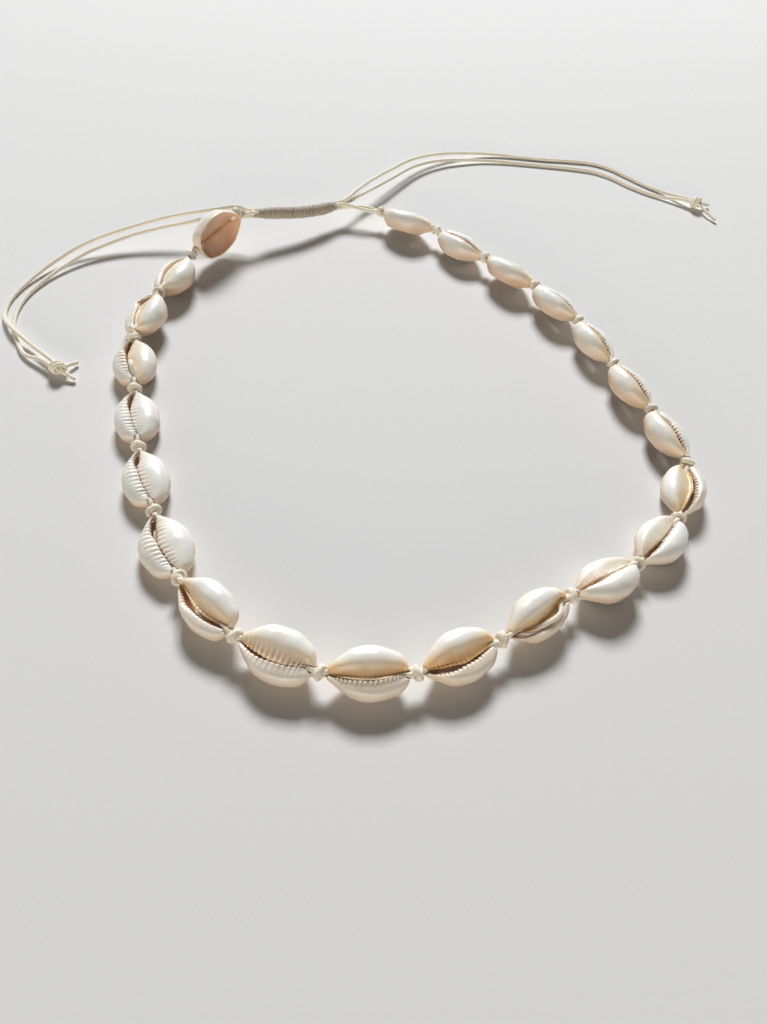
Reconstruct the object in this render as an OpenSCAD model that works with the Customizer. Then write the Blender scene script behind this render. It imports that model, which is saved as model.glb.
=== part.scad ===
// Shell necklace: cut cowrie shells knotted onto a doubled cord, closed by a sliding knot.
// It lies on a flat surface at z = 0, with the sliding knot towards +Y.

/* [Shells] */
// Height of a shell, from its cut back to the top of its lips
shell_h = 6.2; // [5.8:0.1:7]
// Thickness of a shell's wall
wall = 1.0; // [0.8:0.1:1.2]
// How far the cut rim lies inside the shell's outline
tuck = 0.9; // [0.4:0.1:1.2]
// How far the slit bows towards the outer lip
slit_bow = 1.0; // [0.6:0.1:1.4]
// Height of the string above the cut back of a shell
string_z = 3.4; // [3.2:0.1:3.5]

/* [Cord] */
// Thickness of one strand of the cord
cord_d = 1.2; // [0.9:0.1:1.2]
// Width of a knot between two shells
knot_w = 3.8; // [3:0.1:4]
// Height of a knot between two shells
knot_h = 3.4; // [2.8:0.1:3.6]
// Length of the knots next to the sliding knot
knot_len = 2.3; // [1.8:0.1:2.4]

/* [Sliding knot] */
// Thickness of the sliding knot
slider_d = 3.8; // [3.7:0.1:4.4]

/* [End knots] */
// Thickness of the knot at the end of a tail
end_knot_d = 4.6; // [4.2:0.1:4.8]
// Distance from the middle of an end knot to the flat where the strands go in
end_knot_flat = 1.5; // [1.2:0.1:1.7]

/* [Hidden] */
// The pair of strands, side by side
pair_w = 2 * cord_d;
pair_h = cord_d;
// How far apart the middles of two strands lie where they go into a knot
strand_gap = cord_d + 0.04;
// Gap between the tip of a shell and the ring where its stretch of string ends
tip_gap = 0.15;

// The shells in string order, from the left end of the sliding knot round the front.
// Each row: knot before the shell [x, y], outward lean and dip of the far end in degrees,
// length and width of the shell.
LOOP = [
    // x, y,         lean, dip, length, width
    [[-59.0,  66.5],  100,   12,    18.0,   12.4],
    [[-70.0,  48.0],   22,    0,    17.2,   11.4],
    [[-74.5,  28.0],   25,    0,    17.2,   11.8],
    [[-76.0,   9.0],    5,    0,    17.0,   11.6],
    [[-70.0,  -9.5],    0,    0,    17.0,   11.4],
    [[-63.0, -29.5],    0,    0,    17.2,   11.2],
    [[-54.0, -48.0],    0,    0,    17.4,   12.2],
    [[-43.0, -66.0],   30,    0,    16.8,   11.2],
    [[-28.0, -78.0],   25,    0,    17.2,   12.0],
    [[ -9.5, -83.5],   28,    0,    17.6,   11.4],
    [[ 10.0, -81.0],   25,    0,    17.2,   11.6],
    [[ 27.5, -70.5],   35,    0,    17.2,   10.8],
    [[ 43.0, -56.5],  -18,    0,    17.2,   11.2],
    [[ 59.5, -45.0],   -8,    0,    17.2,   11.4],
    [[ 71.5, -29.0],   -5,    0,    17.2,   11.4],
    [[ 76.0, -10.0],   22,    0,    17.0,   11.0],
    [[ 68.0,   7.5],   24,    0,    17.0,   11.0],
    [[ 59.0,  24.5],   24,    0,    17.0,   11.0],
    [[ 49.5,  42.5],   26,    0,    17.0,   11.2],
    [[ 36.5,  56.5],   30,    0,    17.0,   11.2],
    [[ 21.0,  68.0],   16,    0,    17.2,   11.4],
    [[  4.0,  80.5],   26,    0,    17.4,   11.4],
];
LAST_KNOT = [-16.0, 86.5];
// How far the first shell hangs above the surface, on its stiff cord
first_hang = 2.2;
SHELLS = len(LOOP);

// Half of the ring of wall round a shell's slit, from its wide tip to its narrow tip.
// Each row: angle about the outline, height as a share of shell_h, half width of the slit.
SECTIONS = [
    // angle, height, slit
    [   0,    0.40,   0.00],
    [  10,    0.42,   1.20],
    [  22,    0.76,   1.50],
    [  38,    0.94,   1.00],
    [  56,    1.00,   0.50],
    [  78,    1.00,   0.45],
    [ 102,    1.00,   0.50],
    [ 124,    0.98,   0.75],
    [ 144,    0.93,   1.35],
    [ 158,    0.74,   1.55],
    [ 170,    0.42,   1.20],
    [ 180,    0.40,   0.00],
];
// How much wider the outline is at the wide tip
egg = 0.10;
// Height of the outer lip's side as a share of the inner side's
lip_share = 0.93;
// Length of wall at each tip, beyond the end of the slit
tip_wall = 1.3;
// Share of the way from the slit to the outline over which the wall is never hollow
lip_solid = 0.15;

// Middle line of the sliding knot, from its left end to its right end
SLIDER_ROUTE = [
    [-55.5, 67.5, 9.8], [-51.0, 70.5, 8.8], [-46.5, 73.0, 8.1], [-42.0, 75.5, 7.4],
    [-38.0, 78.5, 6.8], [-34.0, 82.0, 6.2], [-30.5, 85.5, 5.8],
];
SLIDER_SIDES = 12;

// Middles of the knots at the ends of the tails, and the heading in which the tails go in
LEFT_END = [-92.5, -5.0, end_knot_d / 2];
LEFT_HEADING = [0.82, -0.57, 0];
RIGHT_END = [98.5, 126.5, end_knot_d / 2];
RIGHT_HEADING = [0.94, -0.34, 0];
// Tips of the cut strands that stand out of each end knot
LEFT_STUBS = [[-89.0, -0.5, 0.8], [-87.5, -7.0, 0.8]];
RIGHT_STUBS = [[104.0, 128.5, 0.8], [105.0, 118.5, 0.8]];

// Routes of the four free strands, after their first point on the sliding knot's end.
TAIL_LEFT_A = [
    [-60, 69.2, 10.4], [-67, 67.8, 9.4], [-75, 65.6, 8.2], [-83, 62.6, 6.9],
    [-91, 58.4, 5.5], [-98.5, 53.6, 4.2], [-105, 48, 3], [-110, 41, 1.9],
    [-113.5, 34, 1.1], [-115.8, 27, 0.7], [-116.5, 20, 0.6], [-114.5, 12.8, 1],
    [-109.5, 7.5, 2.1], [-103.2, 3.2, 1.6], [-97.5, -0.6, 1.9],
];
TAIL_LEFT_B = [
    [-60.4, 68.6, 8.9], [-67, 66.2, 7.8], [-75, 63, 6.5], [-83, 59.6, 5.4],
    [-90, 56.2, 4.3], [-96.5, 51.6, 3.2], [-102.5, 46, 2.3], [-107, 39.5, 1.4],
    [-110.5, 32.5, 0.8], [-112.6, 25.5, 0.6], [-113, 18.3, 0.6], [-111.5, 11.3, 0.6],
    [-108, 5, 0.6], [-103.5, -0.4, 0.9], [-97.8, -2.6, 1.9],
];
TAIL_RIGHT_A = [
    [-28.2, 88.6, 6.5], [-25.6, 94.5, 6.5], [-22.6, 101.0, 6.2], [-19.2, 107.6, 5.8],
    [-15.6, 114.1, 5.2], [-12.0, 120.5, 4.6], [-8.0, 126.6, 3.9], [-3.0, 132.0, 3.1],
    [3.0, 136.5, 2.4], [9.5, 140.0, 1.7], [16.5, 142.8, 1.2], [23.5, 144.6, 0.8],
    [31.0, 145.4, 0.6], [42.0, 146.3, 0.6], [53.5, 148.0, 0.6],
    [61.0, 148.4, 0.6], [68.0, 146.2, 0.6], [74.5, 141.8, 0.6], [81.0, 137.2, 0.6],
    [87.5, 133.6, 0.8], [93.6, 129.8, 1.9],
];
TAIL_RIGHT_B = [
    [-28.0, 88.4, 5.2], [-24.6, 93.8, 5.2], [-20.8, 99.6, 5.0], [-17.2, 105.6, 4.6],
    [-13.6, 112.0, 4.1], [-10.2, 118.2, 3.6], [-6.4, 124.0, 3.0], [-1.6, 129.0, 2.4],
    [4.2, 133.0, 1.8], [10.8, 136.0, 1.3], [17.6, 138.4, 0.9], [24.6, 139.8, 0.7],
    [32.0, 140.6, 0.6], [43.0, 141.6, 0.6], [54.5, 142.3, 0.6],
    [61.5, 142.0, 0.6], [68.0, 139.4, 0.6], [74.0, 135.2, 0.6], [80.5, 131.8, 0.6],
    [87.2, 129.6, 0.8], [93.4, 128.0, 1.9],
];
CORD_SIDES = 8;

ivory = "#f0e8da";
ecru = "#e6dac0";

SHELL_NODES = [for (i = [1 : SHELLS]) str("shell_", i < 10 ? "0" : "", i)];

// Directions and turns

function unit(v) = v / norm(v);
function turn_x(p, a) = [p.x, p.y * cos(a) - p.z * sin(a), p.y * sin(a) + p.z * cos(a)];
function turn_y(p, a) = [p.x * cos(a) + p.z * sin(a), p.y, p.z * cos(a) - p.x * sin(a)];
function turn_z(p, a) = [p.x * cos(a) - p.y * sin(a), p.x * sin(a) + p.y * cos(a), p.z];
function lowest(points) = min([for (p = points) p.z]);
function mix(a, b, share) = a + share * (b - a);

// One shell, with its wide tip towards +X, its inner side towards +Y and its slit upwards.
// Its string runs along the X axis.

function outline(a, size) = [size.x / 2 * cos(a), size.y / 2 * sin(a) * (1 + egg * cos(a))];
function slit_end(size) = size.x / 2 - tip_wall;
function slit_middle(x, size) = -slit_bow * (1 - pow(x / slit_end(size), 2));
function slit_edge(a, half, side, size) =
    let (x = slit_end(size) * cos(a))
    [x, slit_middle(x, size) * (half > 0 ? 1 : 0) + side * half];

// The wall at one section, from the cut rim up over the outside and back down the inside
function inset(size, d) = size - [2 * d, 2 * d];
function wall_section(row, side, size) =
    let (
        a = side * row[0],
        outer = outline(a, size),
        edge = slit_edge(row[0], row[2], side, size),
        inside = min(1 - lip_solid, wall / norm(edge - outer)),
        top = shell_h * row[1] * (side > 0 ? 1 : lip_share),
        // Each row: place in plan and share of the height
        profile = [
            [outline(a, inset(size, tuck)), 0],
            [outline(a, inset(size, tuck / 4)), 0.22],
            [outer, 0.48],
            [mix(outer, edge, 0.12), 0.78],
            [mix(outer, edge, 0.40), 0.97],
            [mix(outer, edge, 0.76), 1],
            [edge, 0.86],
            [mix(outer, edge, (1 + inside) / 2), 0.70],
            [mix(outer, edge, inside), 0.4],
            [outline(a, inset(size, tuck + wall)), 0],
        ]
    )
    [for (q = profile) [q[0].x, q[0].y, q[1] * top - string_z]];

LAST = len(SECTIONS) - 1;
SHELL_RINGS = 2 * LAST;
function shell_sections(size) = [
    for (k = [0 : SHELL_RINGS - 1])
        k <= LAST ? wall_section(SECTIONS[k], 1, size) : wall_section(SECTIONS[SHELL_RINGS - k], -1, size)
];

// Where each shell lies

function knot_xy(i) = i < SHELLS ? LOOP[i][0] : LAST_KNOT;
function heading(i) = let (d = knot_xy(i + 1) - knot_xy(i)) atan2(d.y, d.x);
function shell_size(i) = [LOOP[i][3], LOOP[i][4]];
function turned(p, i) = turn_z(turn_y(turn_x(p, LOOP[i][1]), LOOP[i][2]), heading(i));
SHELL_POINTS = [
    for (i = [0 : SHELLS - 1]) [for (ring = shell_sections(shell_size(i))) each [for (p = ring) turned(p, i)]]
];
PROFILE_POINTS = len(SHELL_POINTS[0]) / SHELL_RINGS;
SHELL_MIDDLES = [
    for (i = [0 : SHELLS - 1])
        let (xy = (knot_xy(i) + knot_xy(i + 1)) / 2)
            [xy.x, xy.y, (i == 0 ? first_hang : 0) - lowest(SHELL_POINTS[i])]
];

// Solids made of rings

function quad(a, b, c, d) = [[a, b, c], [a, c, d]];
function side_faces(m, n, closed) = [
    for (i = [0 : (closed ? m - 1 : m - 2)], k = [0 : n - 1])
        let (j = (i + 1) % m, l = (k + 1) % n)
            each quad(i * n + k, i * n + l, j * n + l, j * n + k)
];

module tube(rings) {
    m = len(rings);
    n = len(rings[0]);
    caps = [[for (k = [n - 1 : -1 : 0]) k], [for (k = [0 : n - 1]) (m - 1) * n + k]];
    polyhedron(points = [for (r = rings) each r], faces = concat(caps, side_faces(m, n, false)));
}

function oval(middle, wide, thin, w, h, sides) = [
    for (k = [0 : sides - 1])
        let (a = (k + 0.5) * 360 / sides) middle + wide * (w / 2 * cos(a)) + thin * (h / 2 * sin(a))
];

// A round cord along a route, whose first and last rings face along the headings given
function along(route, k) = unit(route[min(k + 1, len(route) - 1)] - route[max(k - 1, 0)]);
function cord_rings(route, d, sides, first, last) = [
    for (k = [0 : len(route) - 1])
        let (
            t = k == 0 ? first : k == len(route) - 1 ? last : along(route, k),
            side = unit(cross([0, 0, 1], t))
        )
            oval(route[k], side, cross(t, side), d, d, sides)
];

// The sliding knot's two ends: the string goes in on the near half, the tails on the far half

SLIDER_LAST = len(SLIDER_ROUTE) - 1;
function slider_end(right) = SLIDER_ROUTE[right ? SLIDER_LAST : 0];
function slider_heading(right) = along(SLIDER_ROUTE, right ? SLIDER_LAST : 0);
function slider_far(right) = unit(cross([0, 0, 1], slider_heading(right)));
function slider_up(right) = cross(slider_heading(right), slider_far(right));
function slider_hole(right, far, up) =
    slider_end(right) + slider_far(right) * (far * strand_gap / 2) + slider_up(right) * (up * strand_gap / 2);

// The string: a pair of strands through every shell, with a knot at both ends of each shell

function string_frame(i) = [turned([0, 1, 0], i), turned([0, 0, 1], i)];
function string_tip(i, end) =
    SHELL_MIDDLES[i] + turned([end * (shell_size(i).x / 2 + tip_gap), 0, 0], i);
function pair_ring(middle, frame) = oval(middle, frame[0], frame[1], pair_w, pair_h, CORD_SIDES);
// Each row: place along the knot, as a share of half the room it lies in, and share of its full size
KNOT_SHAPE = [[-0.35, 0.72], [-0.14, 1], [0.14, 1], [0.35, 0.72]];
function knot_rings(middle, reach, frame) = [
    for (row = KNOT_SHAPE)
        oval(middle + row[0] * reach, frame[0], frame[1], row[1] * knot_w, row[1] * knot_h, CORD_SIDES)
];
function blend_frame(a, b) = [unit(a[0] + b[0]), unit(a[1] + b[1])];
function joint_rings(i) =
    let (from = string_tip(i, 1), to = string_tip(i + 1, -1))
        knot_rings((from + to) / 2, (to - from) / 2, blend_frame(string_frame(i), string_frame(i + 1)));

// The knots next to the sliding knot stand a little way off the first and the last shell
end_step = knot_len / 2 + tip_gap;
function outer_knot(i, end) = string_tip(i, end) + turned([end * end_step, 0, 0], i);
function outer_rings(i, end) =
    knot_rings(outer_knot(i, end), turned([knot_len, 0, 0], i), string_frame(i));
function slider_ring(right) =
    oval(slider_hole(right, -1, 0), slider_up(right), slider_far(right), pair_w, pair_h, CORD_SIDES);

function string_rings() = concat(
    [slider_ring(false)],
    outer_rings(0, -1),
    [
        for (i = [0 : SHELLS - 1])
            each concat(
                [pair_ring(string_tip(i, -1), string_frame(i)), pair_ring(string_tip(i, 1), string_frame(i))],
                i < SHELLS - 1 ? joint_rings(i) : outer_rings(i, 1)
            )
    ],
    [slider_ring(true)]
);

// An end knot's flat side, where the two strands of a tail go in

function end_flat(middle, heading) = middle - unit(heading) * end_knot_flat;
function end_side(heading) = unit(cross([0, 0, 1], heading));
function end_hole(middle, heading, side) =
    end_flat(middle, heading) + end_side(heading) * (side * strand_gap / 2);

module shell(number) {
    i = number - 1;
    color(ivory)
        translate(SHELL_MIDDLES[i])
            polyhedron(points = SHELL_POINTS[i], faces = side_faces(SHELL_RINGS, PROFILE_POINTS, true));
}

module string() {
    color(ecru) tube(string_rings());
}

module sliding_knot() {
    rings = cord_rings(SLIDER_ROUTE, slider_d, SLIDER_SIDES, slider_heading(false), slider_heading(true));
    color(ecru) tube(rings);
}

// One free strand, from the sliding knot's end to an end knot
module tail(right, up, route, knot, heading, side) {
    route = concat([slider_hole(right, 1, up)], route, [end_hole(knot, heading, side)]);
    first = (right ? 1 : -1) * slider_heading(right);
    color(ecru) tube(cord_rings(route, cord_d, CORD_SIDES, first, unit(heading)));
}

module end_knot(middle, heading, stubs) {
    color(ecru) {
        translate(middle)
            rotate([0, 0, atan2(heading.y, heading.x)])
                intersection() {
                    sphere(d = end_knot_d, $fn = 48);
                    translate([-end_knot_flat, -end_knot_d, -end_knot_d]) cube(2 * end_knot_d);
                }
        for (tip = stubs) {
            reach = tip - middle;
            translate(middle)
                rotate([0, acos(reach.z / norm(reach)), atan2(reach.y, reach.x)])
                    cylinder(d = cord_d, h = norm(reach), $fn = 24);
        }
    }
}

shell(1);  // shell_01
shell(2);  // shell_02
shell(3);  // shell_03
shell(4);  // shell_04
shell(5);  // shell_05
shell(6);  // shell_06
shell(7);  // shell_07
shell(8);  // shell_08
shell(9);  // shell_09
shell(10);  // shell_10
shell(11);  // shell_11
shell(12);  // shell_12
shell(13);  // shell_13
shell(14);  // shell_14
shell(15);  // shell_15
shell(16);  // shell_16
shell(17);  // shell_17
shell(18);  // shell_18
shell(19);  // shell_19
shell(20);  // shell_20
shell(21);  // shell_21
shell(22);  // shell_22
string();
sliding_knot();
tail(false, 1, TAIL_LEFT_A, LEFT_END, LEFT_HEADING, 1);  // tail_left_a
tail(false, -1, TAIL_LEFT_B, LEFT_END, LEFT_HEADING, -1);  // tail_left_b
tail(true, 1, TAIL_RIGHT_A, RIGHT_END, RIGHT_HEADING, 1);  // tail_right_a
tail(true, -1, TAIL_RIGHT_B, RIGHT_END, RIGHT_HEADING, -1);  // tail_right_b
end_knot(LEFT_END, LEFT_HEADING, LEFT_STUBS);  // left_end_knot
end_knot(RIGHT_END, RIGHT_HEADING, RIGHT_STUBS);  // right_end_knot
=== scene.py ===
import math
from collections import namedtuple

import bpy
from mathutils import Matrix, Vector, noise


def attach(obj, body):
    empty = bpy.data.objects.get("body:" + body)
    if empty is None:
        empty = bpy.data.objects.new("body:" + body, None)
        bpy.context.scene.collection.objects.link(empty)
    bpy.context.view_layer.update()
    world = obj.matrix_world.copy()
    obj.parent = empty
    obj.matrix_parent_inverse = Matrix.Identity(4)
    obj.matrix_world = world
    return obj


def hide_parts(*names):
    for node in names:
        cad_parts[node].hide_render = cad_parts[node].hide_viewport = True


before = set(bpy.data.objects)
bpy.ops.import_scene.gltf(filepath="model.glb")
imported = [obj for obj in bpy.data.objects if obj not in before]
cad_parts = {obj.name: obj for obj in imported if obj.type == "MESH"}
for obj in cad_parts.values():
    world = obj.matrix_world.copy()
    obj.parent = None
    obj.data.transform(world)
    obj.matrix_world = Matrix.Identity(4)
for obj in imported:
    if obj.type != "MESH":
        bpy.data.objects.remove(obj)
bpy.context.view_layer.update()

MM = 0.001
UP = Vector((0, 0, 1))


# The view: a phone held low in front of the necklace, looking down at it and a little tilted.

CAMERA_PLACE = (-1 * MM, -152 * MM, 148.2 * MM)
CAMERA_DIP = 52.08
CAMERA_TILT = 7.86


def clear_choice():
    bpy.ops.object.select_all(action="DESELECT")


def put_camera():
    clear_choice()
    bpy.ops.object.camera_add(location=CAMERA_PLACE)
    camera = bpy.context.object
    camera.rotation_mode = "ZYX"
    camera.rotation_euler = (math.radians(90 - CAMERA_DIP), 0, math.radians(CAMERA_TILT))
    camera.data.sensor_width = 36
    camera.data.lens = 27.04
    camera.data.clip_start = 5 * MM
    bpy.context.scene.camera = camera


put_camera()


# Lines and twisted cords

def smooth_share(low, high, value):
    """0 up to low, 1 from high on, and a smooth rise between."""
    t = min(max((value - low) / (high - low), 0), 1)
    return t * t * (3 - 2 * t)


def mm(rows):
    """Rows of millimetres as points of the frame."""
    return [Vector(row) * MM for row in rows]


def smooth_line(points, step):
    """A smooth line through the points, cut into short steps."""
    ends = [points[0] * 2 - points[1], *points, points[-1] * 2 - points[-2]]
    line = []
    for a, b, c, d in zip(ends, ends[1:], ends[2:], ends[3:]):
        before = (b - a).length
        here = (c - b).length
        after = (d - c).length
        lead = ((c - b) * (before / here) + (b - a) * (here / before)) / (before + here)
        trail = ((d - c) * (here / after) + (c - b) * (after / here)) / (here + after)
        count = max(1, round(here / step))
        for k in range(count):
            t = k / count
            line.append(
                b * (2 * t**3 - 3 * t**2 + 1)
                + lead * (here * (t**3 - 2 * t**2 + t))
                + c * (3 * t**2 - 2 * t**3)
                + trail * (here * (t**3 - t**2))
            )
    line.append(points[-1])
    return line


def headings(line):
    """The way that the line runs at each of its points."""
    found = []
    for k in range(len(line)):
        found.append((line[min(k + 1, len(line) - 1)] - line[max(k - 1, 0)]).normalized())
    return found


def sides_of_run(run):
    """The level side of a run, and the side above it."""
    away = UP.cross(run).normalized()
    return away, run.cross(away)


def carried_sides(line):
    """A side direction for each point, carried along the line without twisting."""
    runs = headings(line)
    side = runs[0].cross(UP).normalized()
    found = []
    for run in runs:
        side = (side - run * side.dot(run)).normalized()
        found.append(side)
    return found


# Three plies make a strand. They go once round it in each length of lay, and the seams between
# them are deeper by a share of the strand's radius.
PLIES = 3
LAY = 4.2 * MM
RELIEF = 0.11


def twist_strand(name, line, sides, width, height, around=15):
    """A twisted cord along the line. Its width lies along the side directions."""
    runs = headings(line)
    points = []
    spots = []
    travelled = 0
    for k, middle in enumerate(line):
        if k:
            travelled += (middle - line[k - 1]).length
        above = runs[k].cross(sides[k])
        for j in range(around):
            turn = 2 * math.pi * j / around
            ply = PLIES * j / around - travelled / LAY * PLIES
            bulge = 1 - RELIEF * (0.5 + 0.5 * math.cos(2 * math.pi * ply)) ** 2
            wide = sides[k] * (width / 2 * bulge * math.cos(turn))
            high = above * (height / 2 * bulge * math.sin(turn))
            points.append(middle + wide + high)
            spots.append((ply, travelled / MM))
    faces = []
    marks = []
    last = len(line) - 1
    for k in range(last):
        for j in range(around):
            here = k * around + j
            beside = k * around + (j + 1) % around
            faces.append((here, beside, beside + around, here + around))
            wrap = PLIES if j == around - 1 else 0
            marks += [
                spots[here],
                (spots[beside][0] + wrap, spots[beside][1]),
                (spots[beside + around][0] + wrap, spots[beside + around][1]),
                spots[here + around],
            ]
    first_ring = range(around)
    last_ring = range(last * around, (last + 1) * around)
    for end in (tuple(reversed(first_ring)), tuple(last_ring)):
        faces.append(end)
        marks += [spots[n] for n in end]
    mesh = bpy.data.meshes.new(name)
    mesh.from_pydata(points, [], faces)
    yarn = mesh.uv_layers.new(name="yarn")
    for loop, mark in zip(yarn.data, marks):
        loop.uv = mark
    mesh.polygons.foreach_set("use_smooth", [True] * len(faces))
    piece = bpy.data.objects.new(name, mesh)
    bpy.context.scene.collection.objects.link(piece)
    return piece


def round_strand(name, line, thick, around=15):
    return twist_strand(name, line, carried_sides(line), thick * MM, thick * MM, around)


# The tails: four strands from the sliding knot to a knot at each end. Their points are those of
# the tubes in the solids, in millimetres.

Ending = namedtuple("Ending", "middle run stubs")

STRAND = 1.2
STRAND_STEP = 0.42 * MM
SLIDER_LINE = [
    (-55.5, 67.5, 9.8), (-51, 70.5, 8.8), (-46.5, 73, 8.1), (-42, 75.5, 7.4),
    (-38, 78.5, 6.8), (-34, 82, 6.2), (-30.5, 85.5, 5.8),
]
LEFT_ENDING = Ending(
    middle=Vector((-92.5, -5, 2.3)) * MM,
    run=Vector((0.82, -0.57, 0)).normalized(),
    stubs=[(-89, -0.5, 0.8), (-87.5, -7, 0.8)],
)
RIGHT_ENDING = Ending(
    middle=Vector((98.5, 126.5, 2.3)) * MM,
    run=Vector((0.94, -0.34, 0)).normalized(),
    stubs=[(104, 128.5, 0.8), (105, 118.5, 0.8)],
)
TAIL_LEFT_A = [
    (-60, 69.2, 10.4), (-67, 67.8, 9.4), (-75, 65.6, 8.2), (-83, 62.6, 6.9),
    (-91, 58.4, 5.5), (-98.5, 53.6, 4.2), (-105, 48, 3), (-110, 41, 1.9),
    (-113.5, 34, 1.1), (-115.8, 27, 0.7), (-116.5, 20, 0.6), (-114.5, 12.8, 1),
    (-109.5, 7.5, 2.1), (-103.2, 3.2, 1.6), (-97.5, -0.6, 1.9),
]
TAIL_LEFT_B = [
    (-60.4, 68.6, 8.9), (-67, 66.2, 7.8), (-75, 63, 6.5), (-83, 59.6, 5.4),
    (-90, 56.2, 4.3), (-96.5, 51.6, 3.2), (-102.5, 46, 2.3), (-107, 39.5, 1.4),
    (-110.5, 32.5, 0.8), (-112.6, 25.5, 0.6), (-113, 18.3, 0.6), (-111.5, 11.3, 0.6),
    (-108, 5, 0.6), (-103.5, -0.4, 0.9), (-97.8, -2.6, 1.9),
]
TAIL_RIGHT_A = [
    (-28.2, 88.6, 6.5), (-25.6, 94.5, 6.5), (-22.6, 101, 6.2), (-19.2, 107.6, 5.8),
    (-15.6, 114.1, 5.2), (-12, 120.5, 4.6), (-8, 126.6, 3.9), (-3, 132, 3.1),
    (3, 136.5, 2.4), (9.5, 140, 1.7), (16.5, 142.8, 1.2), (23.5, 144.6, 0.8),
    (31, 145.4, 0.6), (42, 146.3, 0.6), (53.5, 148, 0.6), (61, 148.4, 0.6),
    (68, 146.2, 0.6), (74.5, 141.8, 0.6), (81, 137.2, 0.6), (87.5, 133.6, 0.8), (93.6, 129.8, 1.9),
]
TAIL_RIGHT_B = [
    (-28, 88.4, 5.2), (-24.6, 93.8, 5.2), (-20.8, 99.6, 5), (-17.2, 105.6, 4.6),
    (-13.6, 112, 4.1), (-10.2, 118.2, 3.6), (-6.4, 124, 3), (-1.6, 129, 2.4),
    (4.2, 133, 1.8), (10.8, 136, 1.3), (17.6, 138.4, 0.9), (24.6, 139.8, 0.7),
    (32, 140.6, 0.6), (43, 141.6, 0.6), (54.5, 142.3, 0.6), (61.5, 142, 0.6),
    (68, 139.4, 0.6), (74, 135.2, 0.6), (80.5, 131.8, 0.6), (87.2, 129.6, 0.8), (93.4, 128, 1.9),
]

HALF_GAP = 0.62 * MM
END_KNOT_RADIUS = 1.5
slider_ends = mm([SLIDER_LINE[0], SLIDER_LINE[-1]])
slider_runs = [
    (Vector(SLIDER_LINE[1]) - Vector(SLIDER_LINE[0])).normalized(),
    (Vector(SLIDER_LINE[-1]) - Vector(SLIDER_LINE[-2])).normalized(),
]


def slider_hole(end, far, strand):
    """Where a strand leaves the sliding knot: far from the shells or near, upper or lower."""
    away, above = sides_of_run(slider_runs[end])
    return slider_ends[end] + away * (far * HALF_GAP) + above * (strand * HALF_GAP)


def end_hole(ending, strand):
    """Where a strand goes into the knot at the end of its tail."""
    away, _ = sides_of_run(ending.run)
    return ending.middle - ending.run * (END_KNOT_RADIUS * MM) + away * (strand * HALF_GAP)


def rest_on_floor(line):
    """No point of a strand lies lower than its own half thickness."""
    for point in line:
        point.z = max(point.z, STRAND / 2 * MM)
    return line


def lay_tail(name, route, end, strand, ending):
    points = [slider_hole(end, 1, strand), *mm(route), end_hole(ending, strand)]
    line = rest_on_floor(smooth_line(points, STRAND_STEP))
    return round_strand(name, line, STRAND), line


tails = {
    "tail_left_a": lay_tail("left_strand_a", TAIL_LEFT_A, 0, 1, LEFT_ENDING),
    "tail_left_b": lay_tail("left_strand_b", TAIL_LEFT_B, 0, -1, LEFT_ENDING),
    "tail_right_a": lay_tail("right_strand_a", TAIL_RIGHT_A, 1, 1, RIGHT_ENDING),
    "tail_right_b": lay_tail("right_strand_b", TAIL_RIGHT_B, 1, -1, RIGHT_ENDING),
}


# The row of shells, from the left end of the sliding knot round to its right end: the knot before
# each shell, its outward lean and the dip of its far end in degrees, and its length and width

Shell = namedtuple("Shell", "knot lean dip length width")

LOOP = [Shell(*values) for values in (
    ((-59, 66.5), 100, 12, 18.0, 12.4), ((-70, 48), 22, 0, 17.2, 11.4), ((-74.5, 28), 25, 0, 17.2, 11.8),
    ((-76, 9), 5, 0, 17.0, 11.6), ((-70, -9.5), 0, 0, 17.0, 11.4), ((-63, -29.5), 0, 0, 17.2, 11.2),
    ((-54, -48), 0, 0, 17.4, 12.2), ((-43, -66), 30, 0, 16.8, 11.2), ((-28, -78), 25, 0, 17.2, 12.0),
    ((-9.5, -83.5), 28, 0, 17.6, 11.4), ((10, -81), 25, 0, 17.2, 11.6), ((27.5, -70.5), 35, 0, 17.2, 10.8),
    ((43, -56.5), -18, 0, 17.2, 11.2), ((59.5, -45), -8, 0, 17.2, 11.4), ((71.5, -29), -5, 0, 17.2, 11.4),
    ((76, -10), 22, 0, 17.0, 11.0), ((68, 7.5), 24, 0, 17.0, 11.0), ((59, 24.5), 24, 0, 17.0, 11.0),
    ((49.5, 42.5), 26, 0, 17.0, 11.2), ((36.5, 56.5), 30, 0, 17.0, 11.2), ((21, 68), 16, 0, 17.2, 11.4),
    ((4, 80.5), 26, 0, 17.4, 11.4),
)]
LAST_KNOT = (-16, 86.5)
# How high the string runs over the cut rim of a shell
STRING_HEIGHT = 3.4
corners = [Vector(shell.knot) for shell in LOOP] + [Vector(LAST_KNOT)]


def shell_name(number):
    return f"shell_{number:02d}"


def seat_of(number):
    """The shell's turn and the middle of its string, read off its solid in the frame."""
    shell = LOOP[number - 1]
    way = corners[number] - corners[number - 1]
    turn = (
        Matrix.Rotation(math.atan2(way.y, way.x), 3, "Z")
        @ Matrix.Rotation(math.radians(shell.dip), 3, "Y")
        @ Matrix.Rotation(math.radians(shell.lean), 3, "X")
    )
    level = [turn.transposed() @ v.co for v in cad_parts[shell_name(number)].data.vertices]
    middle = Vector((
        (min(p.x for p in level) + max(p.x for p in level)) / 2,
        (min(p.y for p in level) + max(p.y for p in level)) / 2,
        min(p.z for p in level) + STRING_HEIGHT * MM,
    ))
    return turn, turn @ middle


seats = {number: seat_of(number) for number in range(1, len(LOOP) + 1)}


def in_shell(number, x, y, z):
    """A point of the shell's own frame, in millimetres, brought to its seat."""
    turn, middle = seats[number]
    return middle + turn @ (Vector((x, y, z)) * MM)


# The knots of the string, one between each two shells and one at each end of the row

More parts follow.
